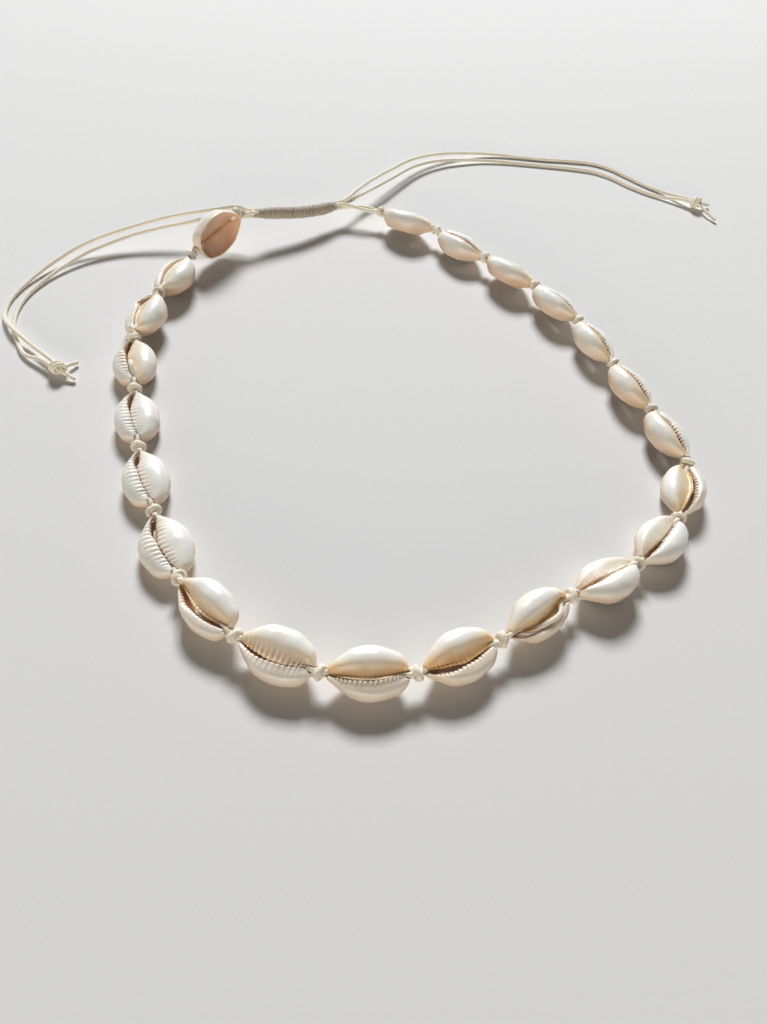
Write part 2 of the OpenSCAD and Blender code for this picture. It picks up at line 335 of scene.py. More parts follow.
Knot = namedtuple("Knot", "middle run side up room")

# The gap between a shell's tip and its knot, how far out the middles of the first and the last
# knot are, and half of the room that these two have
TIP_GAP = 0.15
END_KNOT_OUT = 1.3
END_KNOT_ROOM = 1.15


def tip(number, end):
    return in_shell(number, end * (LOOP[number - 1].length / 2 + TIP_GAP), 0, 0)


def end_frame(number, end):
    """The place of the knot past the first or the last shell."""
    turn = seats[number][0]
    run = turn.col[0].copy()
    middle = tip(number, end) + run * (end * END_KNOT_OUT * MM)
    return Knot(middle, run, turn.col[1].copy(), turn.col[2].copy(), END_KNOT_ROOM * MM)


def frame_between(number):
    """The place of the knot between a shell and the next one, and half of the room it has."""
    a = tip(number, 1)
    b = tip(number + 1, -1)
    run = (b - a).normalized()
    side = seats[number][0].col[1] + seats[number + 1][0].col[1]
    side = (side - run * side.dot(run)).normalized()
    return Knot((a + b) / 2, run, side, run.cross(side), (b - a).length / 2)


knots = [
    end_frame(1, -1),
    *(frame_between(number) for number in range(1, len(LOOP))),
    end_frame(len(LOOP), 1),
]

# The radius of the turns, and how much of it they have across the knot and upwards
WRAP = 1.24
KNOT_WIDE = 1.10
KNOT_HIGH = 0.96
# The points of the turns, the degrees between two, and how many of them close a face
TURN_POINTS = 18
TURN_STEP = 28
FACE_POINTS = 6


def in_knot(knot, x, radius, degrees):
    """A point x millimetres along a knot and so far from its middle. Some knots are mirrored."""
    place = knots[knot]
    right_handed = math.sin(knot * 1.7 + 0.4) > 0
    turn = math.radians(degrees if right_handed else 180 - degrees)
    across = place.side * (KNOT_WIDE * math.cos(turn)) + place.up * (KNOT_HIGH * math.sin(turn))
    return place.middle + place.run * (x * MM) + across * (radius * MM)


def tie_first(strand):
    """One strand through the first knot, by the sliding knot: twice round, beside the other one."""
    start = 30 if strand > 0 else -120
    points = [in_knot(0, 2.6, 0.5, start + 440)]
    for k in reversed(range(24)):
        points.append(in_knot(0, -0.9 + strand * 0.55 + k * 0.13, WRAP, start + 25 + k * 31))
    points.append(in_knot(0, 0.1 + strand * 0.3, 0.45, start - 40))
    points.append(in_knot(0, -0.8, 0.3, start + 180))
    return points


def tie(knot, strand):
    """The points of one strand through a knot, from its near face to its far face.

    Each strand goes more than once round. One starts with half a turn that closes the near face
    of the knot, and the other one ends with half a turn that closes the far face. The sines
    make each knot a little unlike the next.
    """
    if knot == 0:
        return tie_first(strand)
    start = math.sin(knot * 2.4) * 30 + (30 if strand > 0 else 60)
    lead = 40 if strand > 0 else -25
    slant = 0.56 + 0.10 * math.sin(knot * 3.1)
    spread = 0.45 + 0.03 * math.sin(knot * 4.3)
    face = strand * min(knots[knot].room / MM + 0.1, 1.25)
    turns = []
    for k in range(TURN_POINTS):
        angle = start + 25 + k * TURN_STEP
        past = k - (TURN_POINTS - FACE_POINTS) if strand > 0 else FACE_POINTS - 1 - k
        inward = smooth_share(0, FACE_POINTS, past)
        x = strand * (spread - 0.01 * k) + slant * math.cos(math.radians(angle + lead))
        radius = WRAP + strand * 0.08 - 0.42 * min(abs(x), 1.1) ** 2
        radius -= 0.05 * math.sin(math.radians(angle * 2 + knot * 50))
        turns.append(in_knot(knot, x + (face - x) * inward, radius + (0.35 - radius) * inward, angle))
    if strand < 0:
        way_in = [in_knot(knot, face - 0.1, 0.25, start - 40)]
        way_out = [in_knot(knot, -0.4, 0.5, start + 525), in_knot(knot, 0.8, 0.3, start + 505)]
    else:
        way_in = [in_knot(knot, -0.8, 0.3, start + 180), in_knot(knot, 0.4, 0.45, start - 40)]
        way_out = [in_knot(knot, face + 0.1, 0.2, start + 560)]
    return way_in + turns + way_out


# The string: two strands through all the shells

# How a pair of strands lies in a shell: its height at a quarter, half and three quarters of the
# length, and how far it lies to the inner side. It is deep in the hollow unless it shows in the slit.
DEEP = (-1.5, -1.3, -0.6, 0.0)
SHOWN = {
    1: (2.2, 2.8, 2.2, 0.2),
    2: (0.3, 0.9, 0.5, 0.0),
    4: (-1.5, 0.3, 2.3, 0.5),
    5: (-1.5, -1.0, 1.0, 0.1),
    6: (-1.5, -1.0, 1.0, 0.1),
    12: (-0.2, 1.4, 1.9, -0.6),
}
# In these shells only the upper strand shows
ONE_SHOWN = (4, 12)
# In these the strands lie one above the other in the middle, and in the rest side by side
ONE_ABOVE = (1, 4, 12)
# Half of the distance between the middles of the two strands, and how far each is off the
# upright where one lies above the other
HALF_APART = 0.58
ASKEW = 0.12
INTO_SLIDER = 2 * MM


def string_points(strand):
    """All the points of one strand of the string, from one end of the sliding knot to the other."""
    start = slider_hole(0, -1, strand)
    end = slider_hole(1, -1, strand)
    points = [start + slider_runs[0] * INTO_SLIDER, start, *tie(0, strand)]
    for number, shell in enumerate(LOOP, start=1):
        half = shell.length / 2
        hidden = number in ONE_SHOWN and strand < 0
        first, middle, last, off = DEEP if hidden else SHOWN.get(number, DEEP)
        apart = ASKEW if number in ONE_ABOVE else HALF_APART
        above = HALF_APART - apart
        points += [
            in_shell(number, -half - 0.1, strand * ASKEW, strand * HALF_APART),
            in_shell(number, -half + 0.9, strand * 0.2, strand * 0.55 + min(first, 0) * 0.35),
            in_shell(number, -half + 2.3, -0.3 + strand * 0.45, strand * 0.4 + first * 0.9),
            in_shell(number, -half * 0.5, -0.6 + off + strand * apart, first + strand * above),
            in_shell(number, 0, -1.2 + off + strand * apart, middle + strand * above),
            in_shell(number, half * 0.5, -0.9 + off + strand * min(apart, 0.45), last + strand * 0.3),
            in_shell(number, half - 1.6, strand * ASKEW, strand * HALF_APART),
            in_shell(number, half + 0.1, 0, strand * HALF_APART),
        ]
        points += tie(number, strand)
    return points + [end, end - slider_runs[1] * INTO_SLIDER]


string_strands = [
    round_strand(name, smooth_line(string_points(strand), STRAND_STEP), STRAND, around=12)
    for strand, name in ((-1, "string_strand_a"), (1, "string_strand_b"))
]


# The sliding knot: a strand wound tightly round the four strands inside it

WINDING_TURNS = 25
WINDING_POINTS = 24
WINDING_WIDE = 1.50
WINDING_THICK = 0.80
WINDING_MARGIN = 0.6 * MM
# The radius of the winding's middle at its ends, and how much more it is between them
END_RADIUS = 0.96
FULLER = 0.52
CORE_THICK = 2.3


def wind_slider():
    """The winding, with uneven turns that lean back, thinner towards its two ends."""
    core = smooth_line(mm(SLIDER_LINE), 0.1 * MM)
    runs = headings(core)
    lengths = [0]
    for a, b in zip(core, core[1:]):
        lengths.append(lengths[-1] + (b - a).length)
    whole = lengths[-1]
    step_count = WINDING_TURNS * WINDING_POINTS
    spot = 0
    line = []
    outward = []
    for k in range(step_count + 1):
        turn = k / WINDING_POINTS
        share = k / step_count
        wobble = 0.16 * math.sin(turn * 2.3) + 0.11 * math.sin(turn * 5.1 + 1)
        lean_back = 0.55 * math.sin(2 * math.pi * turn + 0.6)
        along = WINDING_MARGIN + share * (whole - WINDING_MARGIN * 2) + (wobble * 0.8 + lean_back) * MM
        along = min(max(along, WINDING_MARGIN / 2), whole - WINDING_MARGIN / 2)
        while spot + 1 < len(core) and lengths[spot + 1] < along:
            spot += 1
        while spot > 0 and lengths[spot] > along:
            spot -= 1
        away, above = sides_of_run(runs[spot])
        angle = 2 * math.pi * turn
        way = away * math.cos(angle) + above * math.sin(angle)
        taper = smooth_share(0, 0.24, share) * smooth_share(0, 0.14, 1 - share)
        radius = (END_RADIUS + FULLER * taper + 0.05 * math.sin(turn * 1.9)) * MM
        line.append(core[spot] + runs[spot] * (along - lengths[spot]) + way * radius)
        outward.append(way)
    thick, wide = WINDING_THICK * MM, WINDING_WIDE * MM
    return twist_strand("sliding_knot_winding", line, outward, thick, wide, around=12)


winding = wind_slider()

# The strands inside the winding, seen only at its two ends
slider_core = round_strand("sliding_knot_core", smooth_line(mm(SLIDER_LINE), 0.8 * MM), CORE_THICK, around=20)


# The knots at the ends of the tails, with their cut ends

END_STRAND = 1.16
END_STEP = 0.4 * MM


def end_knot_points(ending, strand, stub):
    """One strand into the knot, once round it and out to its cut end."""
    middle, run, _ = ending
    away, above = sides_of_run(run)

    def at(x, radius, degrees):
        turn = math.radians(degrees)
        place = middle + run * (x * MM)
        return place + away * (radius * math.cos(turn) * MM) + above * (radius * math.sin(turn) * MM)

    points = [
        end_hole(ending, strand),
        at(-0.6, 0.5, 90 - strand * 90),
        at(0.9 + strand * 0.3, 0.6, -100),
    ]
    for k in range(14):
        angle = -70 + k * 30
        x = strand * HALF_APART + 0.55 - k * 0.09 + 0.3 * math.cos(math.radians(angle))
        points.append(at(x, END_KNOT_RADIUS, angle))
    cut_end = Vector(stub) * MM
    points += [
        at(-0.4, 0.7, 20),
        at(0.6, 0.5, 90 + strand * 90),
        middle + (cut_end - middle) * 0.55,
        cut_end,
    ]
    return points


def end_knot(name, ending):
    parts = []
    for strand, letter, stub in zip((1, -1), "ab", ending.stubs):
        line = rest_on_floor(smooth_line(end_knot_points(ending, strand, stub), END_STEP))
        parts.append(round_strand(f"{name}_{letter}", line, END_STRAND))
    clear_choice()
    for part in parts:
        part.select_set(True)
    bpy.context.view_layer.objects.active = parts[0]
    bpy.ops.object.join()
    parts[0].name = name
    return parts[0]


left_knot = end_knot("left_tied_end", LEFT_ENDING)
right_knot = end_knot("right_tied_end", RIGHT_ENDING)


# A cowrie shell with its back cut away

AROUND = 288
SHELL_LENGTH = 17.2
SHELL_WIDTH = 11.4
# Half length, half width and height of each ring, from the lip's edge over the outside to the
# cut rim, and back up inside to under the lip
SHELL_RINGS = [
    (7.90, 0.40, 4.60), (7.90, 0.40, 5.00), (7.91, 0.45, 5.32), (7.93, 0.56, 5.56), (7.95, 0.76, 5.72),
    (7.98, 1.02, 5.84), (8.01, 1.34, 5.94), (8.05, 1.70, 6.03), (8.10, 2.10, 6.11), (8.15, 2.53, 6.17),
    (8.21, 2.97, 6.20), (8.28, 3.40, 6.15), (8.36, 3.83, 6.01), (8.44, 4.24, 5.78), (8.51, 4.64, 5.44),
    (8.57, 5.02, 4.98), (8.60, 5.34, 4.43), (8.58, 5.57, 3.80), (8.52, 5.68, 3.15), (8.40, 5.68, 2.50),
    (8.22, 5.56, 1.88), (7.98, 5.35, 1.28), (7.70, 5.09, 0.74), (7.42, 4.84, 0.32), (7.22, 4.68, 0.08),
    (7.10, 4.58, 0.00), (6.82, 4.30, 0.00), (6.55, 4.04, 0.00), (6.46, 3.96, 0.08),
    (6.46, 3.95, 0.35), (6.62, 4.08, 0.95), (6.86, 4.30, 1.70), (7.06, 4.44, 2.45), (7.20, 4.42, 3.15),
    (7.28, 4.17, 3.80), (7.32, 3.70, 4.35), (7.35, 3.10, 4.70), (7.40, 2.50, 4.78), (7.46, 1.96, 4.55),
    (7.54, 1.52, 4.15), (7.63, 1.12, 3.72), (7.73, 0.76, 3.42), (7.82, 0.50, 3.42), (7.88, 0.41, 3.80),
]
# Shell 1 is cut where it is widest: its rim is thin and its hollow shallow
SHALLOW_SHELL = 1
SHALLOW_FROM = 19
SHALLOW_RINGS = [
    (8.50, 5.69, 2.65), (8.48, 5.68, 2.22), (8.46, 5.66, 1.80), (8.43, 5.64, 1.42), (8.40, 5.61, 1.12),
    (8.36, 5.57, 0.96), (8.30, 5.51, 0.90), (8.22, 5.43, 0.90), (8.14, 5.35, 0.90), (8.08, 5.30, 0.96),
    (8.04, 5.26, 1.11), (7.96, 5.16, 1.46), (7.86, 5.00, 1.88), (7.74, 4.76, 2.27), (7.64, 4.42, 2.62),
    (7.58, 3.98, 2.93), (7.54, 3.46, 3.25), (7.54, 2.88, 3.52), (7.56, 2.30, 3.72), (7.60, 1.78, 3.86),
    (7.66, 1.32, 3.95), (7.72, 0.94, 4.02), (7.78, 0.66, 4.10), (7.84, 0.48, 4.20), (7.88, 0.41, 4.36),
]
RIM_RING = 26
LAST_RING = len(SHELL_RINGS) - 1
INNER_LIP_RINGS = 5
# How far from the slit, over the lip, the finish still counts as near it
NEAR_SLIT = 6


def choose(piece, test):
    """In edit mode, selects the points of a piece that pass a test on their number."""
    bpy.ops.object.mode_set(mode="OBJECT")
    for part in (piece.data.edges, piece.data.polygons):
        part.foreach_set("select", [False] * len(part))
    for v in piece.data.vertices:
        v.select = test(v.index)
    bpy.ops.object.mode_set(mode="EDIT")


def draw_shell():
    """The plain form: a circle drawn out to the slit and extruded ring by ring over the lips."""
    clear_choice()
    bpy.ops.mesh.primitive_circle_add(vertices=AROUND, radius=MM, fill_type="NOTHING", location=(0, 0, 0))
    piece = bpy.context.object
    piece.name = "cowrie"
    bpy.ops.object.mode_set(mode="EDIT")
    bpy.ops.mesh.select_mode(type="VERT")
    bpy.ops.mesh.select_all(action="SELECT")
    length, width, height = SHELL_RINGS[0]
    bpy.ops.transform.resize(value=(length, width, 1), center_override=(0, 0, 0))
    bpy.ops.transform.translate(value=(0, 0, height * MM))
    for ring in SHELL_RINGS[1:]:
        bpy.ops.mesh.extrude_region_move(TRANSFORM_OT_translate={"value": (0, 0, (ring[2] - height) * MM)})
        bpy.ops.transform.resize(value=(ring[0] / length, ring[1] / width, 1), center_override=(0, 0, 0))
        length, width, height = ring
    choose(piece, lambda n: n // AROUND in (0, LAST_RING))
    bpy.ops.mesh.bridge_edge_loops()
    bpy.ops.mesh.select_all(action="SELECT")
    bpy.ops.mesh.normals_make_consistent(inside=False)
    bpy.ops.object.mode_set(mode="OBJECT")
    return piece


# What makes each shell its own: half gap of the slit along it and at its narrow end, bow of the
# slit, length and height of the teeth on the outer lip, then on the inner side, how many points of
# a ring a tooth takes, and depth of the valley beside the slit
Carving = namedtuple(
    "Carving", "gap narrow_gap bow lip_reach lip_height side_reach side_height pitch valley"
)
CARVING = {
    1: (0.16, 0.26, 0.6, 3.2, 0.06, 2.6, 0.04, 5, 0.0), 2: (0.66, 0.80, 1.8, 2.0, 0.08, 2.0, 0.05, 5, 0.7),
    3: (0.14, 1.40, 1.5, 3.0, 0.07, 2.0, 0.05, 6, 0.9), 4: (0.20, 0.84, 1.5, 4.2, 0.15, 2.4, 0.08, 7, 0.2),
    5: (0.05, 0.70, 1.4, 4.8, 0.11, 3.0, 0.10, 7, 0.0), 6: (0.05, 0.66, 1.4, 4.8, 0.11, 3.0, 0.10, 7, 0.0),
    7: (0.16, 0.72, 1.5, 4.8, 0.13, 3.8, 0.14, 7, 0.0), 8: (0.44, 0.80, 1.9, 1.8, 0.06, 2.6, 0.05, 6, 0.9),
    9: (0.04, 0.26, 1.6, 4.0, 0.07, 4.6, 0.13, 7, 0.4), 10: (-0.04, 0.04, 1.4, 2.8, 0.12, 2.2, 0.02, 6, 0.5),
    11: (0.24, 0.66, 1.6, 2.6, 0.12, 2.8, 0.05, 6, 0.7), 12: (0.55, 0.55, 2.3, 1.2, 0.04, 1.2, 0.03, 6, 1.5),
    13: (0.14, 0.50, 1.0, 1.6, 0.32, 3.4, 0.05, 5, 0.3), 14: (0.22, 0.66, 0.9, 1.6, 0.32, 4.4, 0.07, 5, 0.3),
    15: (0.34, 0.74, 2.3, 1.6, 0.34, 1.6, 0.05, 6, 1.2),
    16: (0.40, 0.60, -0.4, 2.0, 0.36, 1.6, 0.10, 6, 0.4),
    17: (0.34, 0.60, -0.2, 2.0, 0.34, 1.6, 0.08, 6, 0.3),
    18: (0.40, 0.60, -0.4, 2.0, 0.36, 1.6, 0.10, 6, 0.4),
    19: (0.24, 0.60, 0.1, 2.0, 0.16, 1.6, 0.06, 5, 0.2),
    20: (0.20, 0.60, 0.5, 2.0, 0.16, 1.6, 0.06, 5, 0.2),
    21: (0.30, 0.60, -0.2, 2.0, 0.30, 1.6, 0.08, 6, 0.3),
    22: (0.20, 0.60, 0.5, 2.0, 0.20, 1.6, 0.06, 5, 0.2),
}
carvings = {number: Carving(*values) for number, values in CARVING.items()}

# How firmly the lips of some shells meet high up, so that the slit is a line. The firmer, the
# nearer to the narrow tip this begins.
CLOSED = {4: 0.3, 5: 0.6, 6: 0.6, 7: 0.3, 9: 0.6, 10: 1.0}
# From where to where the lips come together in the firmest shell, and how much farther on they
# do so in a loose one
CLOSED_FROM = -8
CLOSED_TO = -5
CLOSED_SHIFT = 7
# The rings narrower than this are the lips, and the innermost one has this half gap before it is
# changed for the shell's own
LIP_HALF = 1.8
PLAIN_GAP = SHELL_RINGS[0][1]
# Below this height the ends are drawn in
DRAWN_IN_BELOW = 4.6
# From this shell on, up the right side, the wide ends are fuller
FULL_FROM = 16
CANAL_FLOOR_INSIDE = 1.5
CANAL_FLOOR_OUTSIDE = 2.2


def open_slit(number, x, y, z, reach, half):
    """The slit: nearly as wide at its ends as in the middle, and widest towards the narrow tip."""
    carving = carvings[number]
    round_off = max(1 - (x / reach) ** 2, 0) ** 0.5
    square_off = max(1 - (x / reach) ** 2, 0) ** 0.18
    near = 1 - smooth_share(0.5, LIP_HALF, half)
    wide = carving.gap + (carving.narrow_gap - carving.gap) * (1 - smooth_share(-3.8, 0.4, x))
    wide += 0.25 * smooth_share(5.6, 7.8, x)
    side = 1 if y > 0 else -1
    y = y + side * near * (wide * square_off - PLAIN_GAP * round_off)
    firm = CLOSED.get(number, 0)
    shift = CLOSED_SHIFT * (1 - firm)
    closed = firm * smooth_share(CLOSED_FROM + shift, CLOSED_TO + shift, x)
    z += 0.55 * closed * (1 - smooth_share(0.45, 1.0, half))
    return y, z


def sculpt(number, ring, x, y, z):
    """Where a point of the plain form goes, in millimetres: lips, arch, outline, bow and canals."""
    carving = carvings[number]
    reach, half, _ = SHELL_RINGS[ring]
    if number == SHALLOW_SHELL and ring >= SHALLOW_FROM:
        wanted = SHALLOW_RINGS[ring - SHALLOW_FROM]
        x *= wanted[0] / reach
        y *= wanted[1] / half
        reach, half, z = wanted
    inner = y >= 0
    inside = ring > RIM_RING + 1
    along = x / (SHELL_LENGTH / 2)
    narrow = smooth_share(-0.4, 0.4, -along)
    if number != SHALLOW_SHELL:
        x *= 1 - (0.12 + 0.20 * narrow) * max(1 - z / DRAWN_IN_BELOW, 0) ** 1.2
    if half < LIP_HALF:
        y, z = open_slit(number, x, y, z, reach, half)
    # The valley on the inner side, and the arch from tip to tip
    if inner and not inside:
        z -= carving.valley * smooth_share(0.3, 1.1, half) * (1 - smooth_share(1.6, 3.4, half))
    z *= 1 - (0.27 + 0.07 * narrow) * along ** 2
    if not inner:
        z *= 1 - 0.06 * smooth_share(0.5, 3.5, -y)
    # The outline, pointed at the narrow tip and full at the wide one, and the bow of the slit
    swell = 0.15 if number >= FULL_FROM else 0.10
    round_end = 0.32 if number >= FULL_FROM else 0.20
    egg = swell * along - 0.28 * smooth_share(0.35, 1.05, -along)
    egg += round_end * smooth_share(0.55, 1.0, along)
    y *= 1 + egg * smooth_share(0.4, 3.0, half)
    curve = max(1 - ((x + 0.8) / 8.0) ** 2, 0)
    y -= carving.bow * curve * (1 - smooth_share(0.5, 5.2, half))
    # The canals at the tips, where the string goes in and out
    depth = (1 - smooth_share(0.40, 0.90, abs(y))) * smooth_share(7.6, 8.0, abs(x))
    floor = CANAL_FLOOR_INSIDE if inside else CANAL_FLOOR_OUTSIDE
    if z > floor and depth > 0:
        z -= (z - floor) * depth
    return x, y, z


def unlike(number, tooth, outer):
    """A share from 0 to 1 that differs from tooth to tooth and is the same in each run."""
    share = math.sin(tooth * 12.9898 + number * 7.3 + (3 if outer else 0)) * 43758.5453
    return share - math.floor(share)


def on_outer_lip(column):
    return AROUND / 4 < column < AROUND * 3 / 4


def tooth_at(number, column, x, travelled):
    """From 1 on a tooth to -1 between two, and how far the point stands proud there."""
    carving = carvings[number]
    outer = on_outer_lip(column)
    if outer:
        reach, height = carving.lip_reach, carving.lip_height
        count = (column - AROUND / 2) / carving.pitch + 0.5
    else:
        reach, height = carving.side_reach, carving.side_height
        count = ((column + AROUND / 2) % AROUND) / carving.pitch
    uneven = unlike(number, round(count), outer)
    reach *= 0.85 + 0.3 * uneven
    height *= 0.8 + 0.35 * uneven
    reach *= 1 - 0.35 * abs(x / 7)
    fade = 1 - smooth_share(0.45, 1.0, travelled / reach)
    fade *= 1 - smooth_share(5.8, 7.0, abs(x))
    wave = 1 - 2 * (0.5 - 0.5 * math.cos(2 * math.pi * count)) ** 1.8
    return wave * fade, wave * fade * height


def teeth_and_nearness(number, ring, column, x, travelled):
    """The wave and rise of the teeth at a point, and its nearness to the slit, from 1 to 0."""
    under_lip = ring - (LAST_RING - INNER_LIP_RINGS)
    if ring < RIM_RING:
        wave, rise = tooth_at(number, column, x, travelled)
        return wave, rise, 1 - min(travelled / NEAR_SLIT, 1)
    if under_lip <= 0:
        return 0, 0, 0
    if number == SHALLOW_SHELL:
        return 0, 0, 1
    wave, rise = tooth_at(number, column, x, 0)
    return wave, rise * (0.5 * under_lip / INNER_LIP_RINGS), 1


def lumps_at(number, ring, here):
    """How far the wall swells at a point, by broad and by small lumps. The cut rim has none."""
    if RIM_RING - 2 < ring < RIM_RING + 3:
        return 0
    seed = Vector((number * 3.1, number * 1.7, 0.5))
    return noise.noise(here * 0.33 + seed) * 0.16 + noise.noise(here * 0.9 + seed) * 0.04


def inward_at(points, ring, column):
    """The way into the wall at a point of the rings."""
    before = points[max(ring - 1, 0) * AROUND + column]
    after = points[min(ring + 1, LAST_RING) * AROUND + column]
    left = points[ring * AROUND + (column - 1) % AROUND]
    right = points[ring * AROUND + (column + 1) % AROUND]
    return (right - left).cross(after - before).normalized()


def mark_points(mesh, marks):
    """Gives each point of the mesh its value of each mark, for the finish to read."""
    for name, values in marks.items():
        mesh.attributes.new(name, "FLOAT", "POINT").data.foreach_set("value", values)


def carve(piece, number):
    """Shapes one copy of the plain form into a shell of its own, and marks its points."""
    mesh = piece.data
    points = []
    for v in mesh.vertices:
        x, y, z = v.co / MM
        points.append(Vector(sculpt(number, v.index // AROUND, x, y, z)))
    travelled = [0.0] * AROUND
    moved = []
    waves = []
    nearness = []
    for ring in range(LAST_RING + 1):
        for column in range(AROUND):
            here = points[ring * AROUND + column]
            if ring > 0:
                travelled[column] += (here - points[(ring - 1) * AROUND + column]).length
            wave, rise, near = teeth_and_nearness(number, ring, column, here.x, travelled[column])
            proud = rise + lumps_at(number, ring, here)
            moved += [c * MM for c in here - inward_at(points, ring, column) * proud]
            waves.append(wave)
            nearness.append(near)
    mesh.vertices.foreach_set("co", moved)
    count = len(mesh.vertices)
    hollow = [1.0 if RIM_RING + 1 < n // AROUND < LAST_RING - 3 else 0.0 for n in range(count)]
    inner_side = [0.0 if on_outer_lip(n % AROUND) else 1.0 for n in range(count)]
    mark_points(mesh, {"nearness": nearness, "hollow": hollow, "tooth": waves, "inner_side": inner_side})
    place = mesh.attributes.new("place", "FLOAT_VECTOR", "POINT")
    place.data.foreach_set("vector", [c / MM for c in moved])


# For each shell: tan stain by the slit, painted cool highlight where the dome faces up, painted pinkish brown
# shade where the flanks face sideways
TINTS = {
    1: (0.5, 0.2, 0.3), 2: (0.4, 0.2, 0.7), 3: (0.6, 0.9, 0.6), 4: (0.5, 0.3, 0.6), 5: (0.2, 1.0, 0.6),
    6: (0.2, 0.7, 0.6), 7: (0.2, 0.4, 0.5), 8: (0.7, 0.7, 0.5), 9: (0.55, 0.3, 0.6), 10: (1.0, 0.1, 0.5),
    11: (1.0, 0.1, 0.5), 12: (1.0, 0.1, 0.5), 13: (0.4, 0.2, 0.6), 14: (0.4, 0.7, 0.5), 15: (0.9, 0.5, 0.5),
    16: (0.5, 0.8, 0.55), 17: (0.7, 0.7, 0.65), 18: (0.6, 1.0, 0.35), 19: (0.4, 0.8, 0.6),
    20: (0.6, 0.5, 0.8), 21: (0.4, 0.8, 0.5), 22: (0.5, 0.7, 0.55),
}


def string_shell(master, number):
    """A copy of the plain form, carved, at its own size, on its own seat."""
    clear_choice()
    master.select_set(True)
    bpy.context.view_layer.objects.active = master
    bpy.ops.object.duplicate()
    piece = bpy.context.object
    piece.name = f"cowrie_{number:02d}"
    carve(piece, number)
    shell = LOOP[number - 1]
    turn, middle = seats[number]
    sized = Matrix.Diagonal((shell.length / SHELL_LENGTH, shell.width / SHELL_WIDTH, 1, 1))
    sunk = Matrix.Translation((0, 0, -STRING_HEIGHT * MM))
    piece.matrix_world = Matrix.Translation(middle) @ turn.to_4x4() @ sized @ sunk
    bpy.ops.object.transform_apply(location=True, rotation=True, scale=True)
    bpy.ops.object.shade_smooth()
    count = len(piece.data.vertices)
    # Per-shell strengths of the tan stain, the painted cool highlight and the painted warm shade
    tints = zip(("tan", "painted_highlight", "painted_shade"), TINTS[number])
    mark_points(piece.data, {name: [value] * count for name, value in tints})
    return piece


plain_form = draw_shell()
shells = {number: string_shell(plain_form, number) for number in seats}
bpy.data.objects.remove(plain_form)


# Finishes

class Recipe:
    """The nodes of a finish, or of the room's light, added and joined one by one."""

    def __init__(self, tree):
        self.nodes = tree.nodes
        self.links = tree.links

    def feed(self, socket, value):
        """Gives a socket another node's output, a colour or a number."""
        if isinstance(value, bpy.types.NodeSocket):
            self.links.new(value, socket)
        elif isinstance(value, tuple):
            socket.default_value = (*value, 1)
        else:
            socket.default_value = value

    def source(self, kind, output):
        return self.nodes.new(kind).outputs[output]

    def mark(self, name, output="Fac"):
        """What the points of the piece carry under this name."""
        node = self.nodes.new("ShaderNodeAttribute")
        node.attribute_name = name
        return node.outputs[output]

    def mixed(self, share, low, high):
        """A colour between two, by a share."""
        node = self.nodes.new("ShaderNodeMix")
        node.data_type = "RGBA"
        self.feed(node.inputs[0], share)
        self.feed(node.inputs[6], low)
        self.feed(node.inputs[7], high)
        return node.outputs[2]

    def worked(self, operation, a, b=0):
        node = self.nodes.new("ShaderNodeMath")
        node.operation = operation
        self.feed(node.inputs[0], a)
        self.feed(node.inputs[1], b)
        return node.outputs[0]

    def times(self, first, *others):
        for other in others:
            first = self.worked("MULTIPLY", first, other)
        return first

    def graded(self, value, low, high):
        """A rise or fall between two places, each given with the brightness there."""
        node = self.nodes.new("ShaderNodeValToRGB")
        for element, (place, tone) in zip(node.color_ramp.elements, (low, high)):
            element.position = place
            element.color = (tone, tone, tone, 1)
        self.links.new(value, node.inputs[0])
        return node.outputs[0]

    def split(self, vector):
        """The X, Y and Z of a vector."""
        node = self.nodes.new("ShaderNodeSeparateXYZ")
        self.links.new(vector, node.inputs[0])
        return node.outputs

    def speckle(self, vector, scale, detail=3, rough=0.5):
        node = self.nodes.new("ShaderNodeTexNoise")
        node.inputs["Scale"].default_value = scale
        node.inputs["Detail"].default_value = detail
        node.inputs["Roughness"].default_value = rough
        self.links.new(vector, node.inputs["Vector"])
        return node.outputs[0]

    def stretched(self, vector, scale):
        node = self.nodes.new("ShaderNodeMapping")
        node.inputs["Scale"].default_value = scale
        self.links.new(vector, node.inputs["Vector"])
        return node.outputs[0]

    def embossed(self, height, strength, distance):
        node = self.nodes.new("ShaderNodeBump")
        node.inputs["Strength"].default_value = strength
        node.inputs["Distance"].default_value = distance
        self.links.new(height, node.inputs["Height"])
        return node.outputs["Normal"]


def new_finish(name):
    material = bpy.data.materials.new(name)
    material.use_nodes = True
    return material, Recipe(material.node_tree), material.node_tree.nodes["Principled BSDF"]


# Colours of the shells
IVORY = (0.88, 0.78, 0.64)
WHITE = (0.96, 0.93, 0.87)
# Painted highlight: a cool white for faces that turn upwards
PAINTED_HIGHLIGHT_WHITE = (0.89, 0.94, 0.92)
# Painted shade: a warm brown for faces that turn sideways
PAINTED_SHADE_BROWN = (0.70, 0.46, 0.29)
TAN = (0.97, 0.60, 0.26)
LIP_GOLD = (0.78, 0.42, 0.13)
# Brown for the slit's walls: partly the shell's stain, partly painted shade in the slit
SLIT_STAIN_AND_SHADE = (0.66, 0.35, 0.17)
GROOVE_BROWN = (0.66, 0.44, 0.28)
GROOVE_GOLD = (0.86, 0.44, 0.10)
TOOTH_WHITE = (0.95, 0.90, 0.80)
CLOUD = (0.74, 0.66, 0.54)
HOLLOW_DARK = (0.70, 0.44, 0.29)
HOLLOW_PALE = (0.80, 0.55, 0.39)
# The height of a shell's dome, from which its white comes down
DOME_HEIGHT = 6.2


